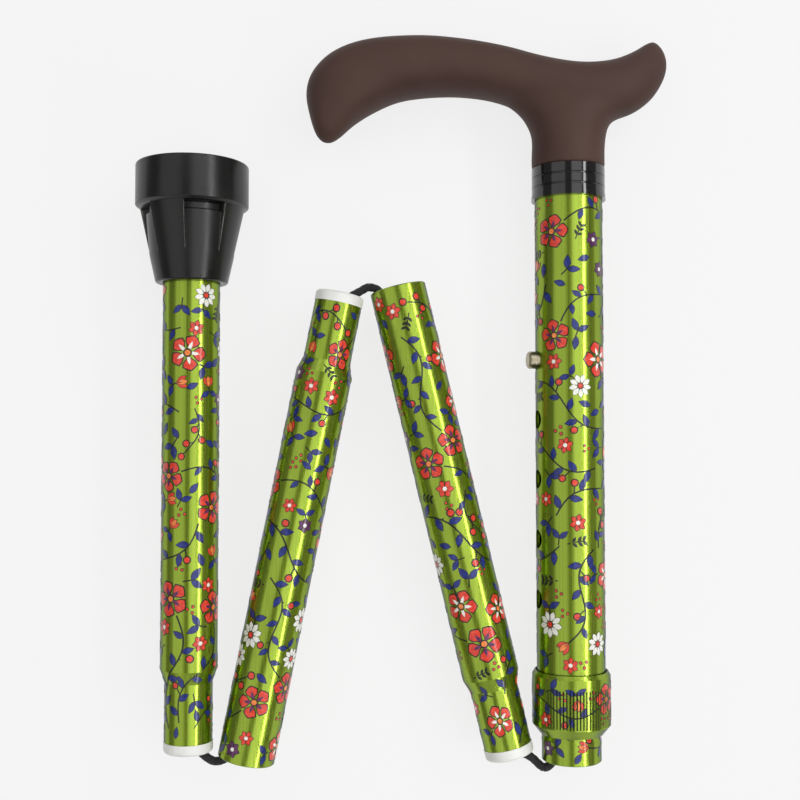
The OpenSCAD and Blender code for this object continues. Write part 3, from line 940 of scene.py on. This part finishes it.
def handle_mesh():
    """Grip, stem and spigot, melted into one form and smoothed."""
    shapes = bmesh.new()
    steps = turns(SIDES)
    rings = []
    for ux, uy, lx, ly, depth in smooth_rows(GRIP, HANDLE_STEPS):
        ring = []
        for a in steps:
            h, d = rounded(math.sin(a)), rounded(math.cos(a))
            x = (ux + lx) / 2 + h * (ux - lx) / 2
            y = STEM_LOW + (uy + ly) / 2 + h * (uy - ly) / 2
            ring.append(Vector((x, y, d * depth)) * MM)
        rings.append(ring)
    skin(shapes, rings)
    spigot = [(height, SPIGOT_R, SPIGOT_R, SPIGOT_R) for height in SPIGOT_ROWS]
    for rows in (smooth_rows(STEM, HANDLE_STEPS), spigot):
        rings = []
        for height, left, right_reach, depth in rows:
            ring = []
            for a in reversed(steps):
                reach = left if math.cos(a) < 0 else right_reach
                ring.append(Vector((reach * math.cos(a), STEM_LOW + height, depth * math.sin(a))) * MM)
            rings.append(ring)
        skin(shapes, rings)
    bmesh.ops.recalc_face_normals(shapes, faces=shapes.faces)
    mesh = mesh_from(shapes, "handle_form")
    form = loose("handle_form", mesh)
    melt = form.modifiers.new("melt", "REMESH")
    melt.mode = "VOXEL"
    melt.voxel_size = HANDLE_VOXEL * MM
    even = form.modifiers.new("even", "SMOOTH")
    even.factor = 0.5
    even.iterations = EVEN_ROUNDS
    form = loose("handle_soft", settled(form))
    soft = form.vertex_groups.new(name="soft")
    for v in form.data.vertices:
        rise = v.co.y / MM - STEM_LOW - SHARP_RIM
        soft.add([v.index], min(max(rise / SHARP_RIM, 0.0), 1.0), "REPLACE")
    blend = form.modifiers.new("blend", "SMOOTH")
    blend.factor = 0.5
    blend.iterations = SOFT_ROUNDS
    blend.vertex_group = "soft"
    return settled(form)


grip_mesh = handle_mesh()
grip_mesh.transform(UPPER)
grip_mesh.materials.clear()
grip_mesh.materials.append(soft_touch_brown())
grip = piece("derby_handle", grip_mesh, "handle_section")
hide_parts("handle")


# Rubber tip: a turned form whose cone has windows that fade out towards its neck

SOLE = 207.0
BAND_R = 20.0
CONE_LOW = (18.6, 15.6)
CONE_HIGH = (12.9, 41.3)
NECK_END = 42.3
TIP_BORE = (10.05, 8.0)
# Radii of its rounded corners, and the height of the band's upper one
SOLE_ROUND = 0.7
BAND_ROUND = 0.5
BAND_TOP = 14.4
NECK_ROUND = 1.0
BORE_ROUND = 0.3
TREADS = (5.6, 10.4, 15.2)
TREAD_W = 1.6
TREAD_DEEP = 1.0
TIP_SIDES = 144
TIP_CREASE = math.radians(50)
WINDOWS = 4
WINDOW_TURN = math.radians(25)
WINDOW_HALF = math.radians(90 * 0.52 / 2)
WINDOW_DEEP = 2.2
WINDOW_L = 17.0
UNDERCUT = (1.2, 2.6)
# Half the breadth of a window's rounded edge
WINDOW_EDGE = 0.28
# How far into that edge the painted highlight is strongest
EDGE_HIGHLIGHT_PEAK = 0.12


def eased(value, low, high):
    """Smooth rise from 0 at low to 1 at high."""
    t = min(max((value - low) / (high - low), 0.0), 1.0)
    return t * t * (3 - 2 * t)


def corner(centre, radius, start, stop, count=5):
    """Round corner of an outline, between two angles in degrees."""
    steps = [math.radians(start + (stop - start) * k / count) for k in range(count + 1)]
    return [polar(centre, radius, a) for a in steps]


def tip_outline():
    """Reach and height from the middle of the sole, round the outside, to the floor of the bore."""
    outline = [(0.0, 0.0)]
    for r in TREADS:
        low, high = r - TREAD_W / 2, r + TREAD_W / 2
        outline += [(low, 0.0), (low, TREAD_DEEP), (high, TREAD_DEEP), (high, 0.0)]
    outline += corner((BAND_R - SOLE_ROUND, SOLE_ROUND), SOLE_ROUND, -90, 0)
    outline += corner((BAND_R - BAND_ROUND, BAND_TOP), BAND_ROUND, 0, 60)
    outline += [(CONE_LOW[0] + 0.3, CONE_LOW[1] - 0.2), (CONE_LOW[0] + 0.05, CONE_LOW[1] - 0.02)]
    slope = (CONE_HIGH[0] - CONE_LOW[0]) / (CONE_HIGH[1] - CONE_LOW[1])
    rises = [0.1, 0.2, 0.35, 0.6, 1.0, 1.5, 2.0, 2.3, 2.6, 2.9, 3.4]
    rises += [4.0 + 0.7 * k for k in range(20)] + [20.0, 23.0]
    outline += [(CONE_LOW[0] + slope * v, CONE_LOW[1] + v) for v in rises]
    outline += corner((CONE_HIGH[0] - NECK_ROUND, NECK_END - NECK_ROUND), NECK_ROUND, 0, 90)
    outline += corner((TIP_BORE[0] + BORE_ROUND, NECK_END - BORE_ROUND), BORE_ROUND, 90, 180, 3)
    return outline + [TIP_BORE, (0.0, TIP_BORE[1])]


def window_depth(height):
    """How deep a window is at that height; the band overhangs its lower end."""
    rise = height - CONE_LOW[1]
    if not 0 < rise < WINDOW_L:
        return 0.0
    deep, long = UNDERCUT
    under = deep * (1 - eased(rise, long - 0.3, long + 0.3))
    return eased(rise, 0.0, 0.25) * (WINDOW_DEEP * (1 - rise / WINDOW_L) + under)


def tip_turns():
    """Angles round the tip, close together at the windows' edges."""
    edges = [WINDOW_TURN + a + side * WINDOW_HALF for a in turns(WINDOWS) for side in (-1, 1)]
    near = [edge + WINDOW_EDGE * k / 4 / CONE_LOW[0] for edge in edges for k in range(-6, 7)]
    apart = 2.2 * WINDOW_EDGE / CONE_LOW[0]
    wide = []
    for a in turns(TIP_SIDES):
        if min(abs((a - edge + math.pi) % math.tau - math.pi) for edge in edges) > apart:
            wide.append(a)
    return sorted(a % math.tau for a in near + wide)


def window_share(turn):
    """1 within a window, 0 on the ribs between."""
    pitch = math.tau / WINDOWS
    aside = (turn - WINDOW_TURN + pitch / 2) % pitch - pitch / 2
    return eased((WINDOW_HALF - abs(aside)) * CONE_LOW[0], -WINDOW_EDGE, WINDOW_EDGE)


def tip_mesh():
    """The turned outline with its windows pressed in."""
    shapes = bmesh.new()
    edge_highlight_layer = shapes.verts.layers.float.new("edge")
    ways = [(math.sin(a), math.cos(a), window_share(a)) for a in tip_turns()]
    outline = tip_outline()
    rings = []
    for r, height in outline[1:-1]:
        deep = window_depth(height) if r > TIP_BORE[0] + 1 else 0.0
        ring = []
        for s, c, share in ways:
            reach = r - deep * share
            v = shapes.verts.new(Vector((reach * s, SOLE - height, reach * c)) * MM)
            # Painted highlight: how much light grey each vertex gets, most just inside a deep window's edge.
            v[edge_highlight_layer] = eased(deep, 0.1, 0.8) * max(1 - abs(share - EDGE_HIGHLIGHT_PEAK) / EDGE_HIGHLIGHT_PEAK, 0.0)
            ring.append(v)
        rings.append(ring)
    bridge(shapes, rings)
    count = len(ways)
    for ring, (_, height) in ((rings[0], outline[0]), (rings[-1], outline[-1])):
        middle = shapes.verts.new(Vector((0, SOLE - height, 0)) * MM)
        for k in range(count):
            shapes.faces.new((ring[k], ring[(k + 1) % count], middle))
    bmesh.ops.recalc_face_normals(shapes, faces=shapes.faces)
    mesh = mesh_from(shapes, "rubber_tip")
    mesh.transform(TIP)
    mesh.materials.append(tip_rubber())
    return mesh


rubber_tip = piece("rubber_tip", tip_mesh(), "tip_section")
rubber_tip.data.set_sharp_from_angle(angle=TIP_CREASE)
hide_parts("rubber_ferrule")


# Elastic cord: a braided cover along the same routes as the solids

# Along and aside at a fold: from the end of a tube's mouth, and from the end of the next bush
MOUTH_ROUTE = [(-20, 0), (-15, 0), (-6.5, 3.6), (0.5, 6.5), (2.8, 9.8)]
BUSH_ROUTE = [(-2.4, 7), (1.4, 2.8), (6, 0), (10, 0)]
ROUTE_STEPS = 10
# Where the second and third sections end
SECOND_END = 169
THIRD_END = 167
# Distance between a braid's rings, in metres, and points round one, where the cord shows and inside the tubes
FINE_STEP = 0.00026
FINE_SIDES = 40
PLAIN_STEP = 0.0004
PLAIN_SIDES = 24
STRANDS = 8
BRAID_PITCH = 2.1
BRAID_DEPTH = 0.16
# Share of the knot's closed course that the cord runs
KNOT_SHARE = 0.97
braid_cover = woven_elastic()


def braided(name, route, spacing, around, body, nodes, radius=CORD_R):
    """Cord with crossing strands along a route of points, in metres."""
    route = [Vector(p) for p in route]
    walk = [0.0]
    for a, b in zip(route, route[1:]):
        walk.append(walk[-1] + (b - a).length)
    count = max(2, round(walk[-1] / spacing))
    side = (route[1] - route[0]).cross(OUT).normalized()
    i = 0
    rings = []
    for k in range(count + 1):
        s = walk[-1] * k / count
        while i < len(route) - 2 and walk[i + 1] < s:
            i += 1
        share = (s - walk[i]) / (walk[i + 1] - walk[i])
        here = route[i].lerp(route[i + 1], share)
        before, after = route[max(i - 1, 0)], route[min(i + 2, len(route) - 1)]
        way = (route[i + 1] - before).lerp(after - route[i], share).normalized()
        side = (side - way * side.dot(way)).normalized()
        over = side.cross(way)
        wave = math.tau * s / (BRAID_PITCH * MM)
        ring = []
        for a in turns(around):
            weave = max(math.cos(STRANDS * a / 2 + wave), math.cos(STRANDS * a / 2 - wave))
            reach = (radius - BRAID_DEPTH * (1 - weave) / 2) * MM
            ring.append(here + side * reach * math.cos(a) + over * reach * math.sin(a))
        rings.append(ring)
    shapes = bmesh.new()
    skin(shapes, rings)
    bmesh.ops.recalc_face_normals(shapes, faces=shapes.faces)
    mesh = mesh_from(shapes, name)
    mesh.materials.append(braid_cover)
    made = piece(name, mesh, body)
    if nodes:
        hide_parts(*nodes)
    return made


def knot(name, place, low, body, node):
    """Overhand knot drawn tight on its plug; the pull has made its cord thinner."""
    tight, reach, rise, steps = 0.95, 0.76, 1.9, 120
    route = []
    for k in range(steps + 1):
        t = math.pi / 2 + math.tau * k / steps * KNOT_SHARE
        across = reach * (math.sin(t) + 2 * math.sin(2 * t))
        out = reach * (math.cos(t) - 2 * math.cos(2 * t))
        route.append(place @ (Vector((across, low + rise + tight - rise * math.sin(3 * t), out)) * MM))
    braided(name, route, FINE_STEP, PLAIN_SIDES, body, [node], tight)


def fold_route(mouth, reach, plug, side):
    """Points over a fold: out of a mouth to the bend's top, and from there into the next section's bush."""
    points = [mouth @ Vector((side * y * MM, (reach + x) * MM, 0)) for x, y in MOUTH_ROUTE]
    points += [plug @ Vector((side * y * MM, x * MM, 0)) for x, y in BUSH_ROUTE]
    rows = [Vector(p) for p in smooth_rows(points, ROUTE_STEPS)]
    top = (len(MOUTH_ROUTE) - 1) * ROUTE_STEPS
    return rows[:top + 1], rows[top:]


def fold_cord(number, mouth, reach, plug, side, bodies, nodes):
    """The cord over one fold, in two halves that slip into the tubes as the fold opens."""
    routes = fold_route(mouth, reach, plug, side)
    for label, route, body, replaced, place in zip(("out", "in"), routes, bodies, nodes, (mouth, plug)):
        made = braided("cord_fold_%d_%s" % (number, label), route, FINE_STEP, FINE_SIDES, body, replaced)
        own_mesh(made)


UP_FROM_MOUTH = UPPER @ Matrix.Rotation(math.pi, 4, "Z")
fold_cord(1, UP_FROM_MOUTH, 0, SECOND, 1, ("adjusting_section", "cord_link_1"),
          (["elastic_fold_1"], []))
fold_cord(2, SECOND, SECOND_END, THIRD, -1, ("second_section", "cord_link_2b"),
          (["elastic_fold_2a"], ["elastic_fold_2b"]))
fold_cord(3, THIRD, THIRD_END, TIP, 1, ("third_section", "cord_link_3"),
          (["elastic_fold_3"], []))
# Straight runs inside the sections
RUNS = (
    ("cord_upper", UPPER, 20.2, 95, "adjusting_section", "elastic_top"),
    ("cord_second", SECOND, 10.2, 148.8, "second_section", "elastic_second"),
    ("cord_third", THIRD, 10.2, 146.8, "third_section", "elastic_third"),
    ("cord_tip", TIP, 10.2, 157.5, "tip_section", "elastic_tip"),
)
for name, place, low, high, body, node in RUNS:
    ends = [place @ Vector((0, v * MM, 0)) for v in (low, high)]
    braided(name, ends, PLAIN_STEP, PLAIN_SIDES, body, [node])
knot("knot_top", UPPER, 95.0, "adjusting_section", "top_knot")
knot("knot_bottom", TIP, 157.5, "tip_section", "bottom_knot")


# Pieces whose solid is right keep it, with their own finish

white_plastic = satin_plastic("white_plastic", tone(226, 226, 222), tone(240, 240, 237))
black_plastic = satin_plastic("black_plastic", tone(30, 30, 31), tone(42, 42, 43))
spring_steel = bright_metal("spring_steel", tone(150, 150, 148), tone(196, 196, 194), 0.22)
nickel = bright_metal("nickel", tone(138, 130, 108), tone(178, 170, 146), 0.16)
FINISHES = {
    green_lacquer("lacquer_upright", 0.0): ("upper_tube", "inner_tube", "tip_tube"),
    # The lock ring's lacquer has painted shade in its grooves.
    green_lacquer("lacquer_ring", 0.0, painted_groove_shade): ("lock_ring",),
    green_lacquer("lacquer_second", -turn_of(SECOND)): ("second_tube",),
    green_lacquer("lacquer_third", -turn_of(THIRD)): ("third_tube",),
    gloss_black(): ("handle_collar",),
    white_plastic: ("second_bush", "third_bush", "tip_bush", "guide_bush", "compression_ring",
                    "cord_anchor_top", "cord_anchor_bottom"),
    black_plastic: ("collet",),
    spring_steel: ("button_spring", "ferrule_washer"),
    nickel: ("snap_button",),
}
for material, nodes in FINISHES.items():
    for node in nodes:
        NODES[node].data.materials.clear()
        NODES[node].data.materials.append(material)


# Table, light and surroundings

# Just under the handle's lowest point, in metres
TABLE_HEIGHT = -0.0002
TABLE_HALF = 4
TABLE_GREY = (0.6, 0.6, 0.6, 1)
WHITE = (1, 1, 1, 1)
# Share of the table's look that is even white
EVEN_SHARE = 0.8
ROOM_LIGHT = 0.18


def table_top():
    """A white table top that still shows soft shadows."""
    mesh = bpy.data.meshes.new("table")
    half = TABLE_HALF
    corners = [(x, y, TABLE_HEIGHT) for x, y in ((-half, -half), (half, -half), (half, half), (-half, half))]
    mesh.from_pydata(corners, [], [(0, 1, 2, 3)])
    material = bpy.data.materials.new("table_white")
    material.use_nodes = True
    graph = Graph(material.node_tree)
    graph.tree.nodes.clear()
    kinds = ("Is Camera Ray", "Is Glossy Ray", "Is Transmission Ray")
    direct, glossy, transmitted = (graph.node("ShaderNodeLightPath", out=kind) for kind in kinds)
    seen = direct.maths("MAXIMUM", glossy).maths("MAXIMUM", transmitted)
    matt = graph.node("ShaderNodeBsdfDiffuse", {"Color": TABLE_GREY})
    glow = graph.node("ShaderNodeEmission", {"Color": WHITE, "Strength": 1.0})
    both = graph.node("ShaderNodeMixShader", {0: seen * EVEN_SHARE, 1: matt, 2: glow})
    graph.node("ShaderNodeOutputMaterial", {"Surface": both})
    mesh.materials.append(material)
    made = loose("table", mesh)
    made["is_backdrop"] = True


def soft_box(name, spot, size, power):
    """A rectangular lamp that faces the middle of the cane, its second side along the cane."""
    lamp = bpy.data.lights.new(name, "AREA")
    lamp.shape = "RECTANGLE"
    lamp.size, lamp.size_y = size
    lamp.energy = power
    made = loose(name, lamp)
    made.location = spot
    made.rotation_euler = Vector(spot).to_track_quat("Z", "X").to_euler()


def beside(lean, distance):
    """A place over the cane that leans so many degrees to its right."""
    return (distance * math.sin(math.radians(lean)), 0.0, distance * math.cos(math.radians(lean)))


table_top()
soft_box("key_strip", beside(48, 1.1), (0.14, 2.4), 8.4)
soft_box("right_panel", beside(23, 1.2), (0.66, 2.4), 6.4)
soft_box("left_panel", beside(-34, 1.1), (0.9, 2.4), 4.8)
soft_box("head_fill", (0.1, 1.25, 1.0), (1.4, 1.4), 3.0)
soft_box("foot_fill", (-0.1, -1.25, 1.0), (1.4, 1.4), 2.0)
world = bpy.data.worlds.new("studio")
world.use_nodes = True
background = world.node_tree.nodes["Background"]
background.inputs["Color"].default_value = WHITE
background.inputs["Strength"].default_value = ROOM_LIGHT
bpy.context.scene.world = world
bpy.context.scene.view_settings.view_transform = "Standard"

bpy.context.view_layer.update()
low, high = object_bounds()
